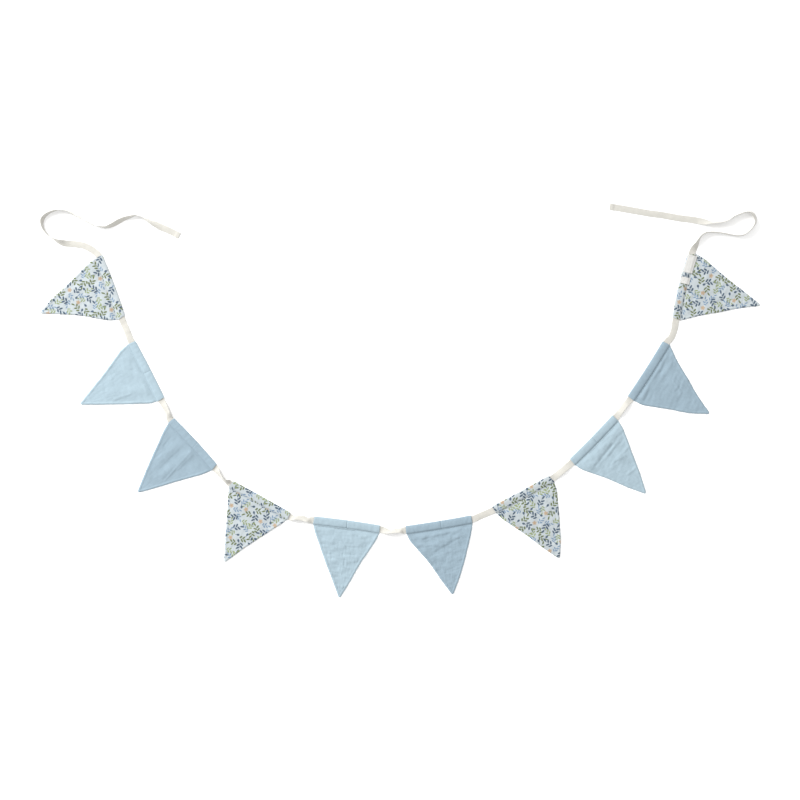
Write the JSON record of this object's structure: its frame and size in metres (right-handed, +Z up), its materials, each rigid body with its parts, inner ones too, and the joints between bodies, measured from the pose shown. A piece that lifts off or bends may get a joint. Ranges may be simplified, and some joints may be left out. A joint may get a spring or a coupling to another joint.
{
  "type": "fabric bunting",
  "caption": "Cotton bunting lying in a U: double-cloth triangles threaded on a flat tape through sewn tunnels, with long free ties at both ends.",
  "frame": {"origin": "on the surface the garland lies on, under the middle of its whole extent", "axes": "+X along the garland's longest extent, from the left tie's side to the right tie's; +Y towards the ties, away from the bottom of the U; +Z up from the surface"},
  "size_m": [1.439, 0.7882, 0.013],
  "materials": {
    "leaf_print": "matte printed cotton, small leaf sprigs in navy and olive on pale blue",
    "pale_blue": "matte plain cotton, slightly creased, the paler of the two blues",
    "mid_blue": "matte plain cotton, slightly creased",
    "tape_cream": "soft cotton tape with a fine twill weave",
    "label_white": "smooth woven label, blank"
  },
  "bodies": {
    "root": {"flag_01": "leaf_print", "flag_02": "pale_blue", "flag_03": "mid_blue", "flag_04": "leaf_print", "flag_05": "pale_blue", "flag_06": "mid_blue", "flag_07": "leaf_print", "flag_08": "pale_blue", "flag_09": "mid_blue", "flag_10": "leaf_print", "tape": "tape_cream", "label_long": "label_white", "label_small": "label_white"}
  },
  "joints": []
}
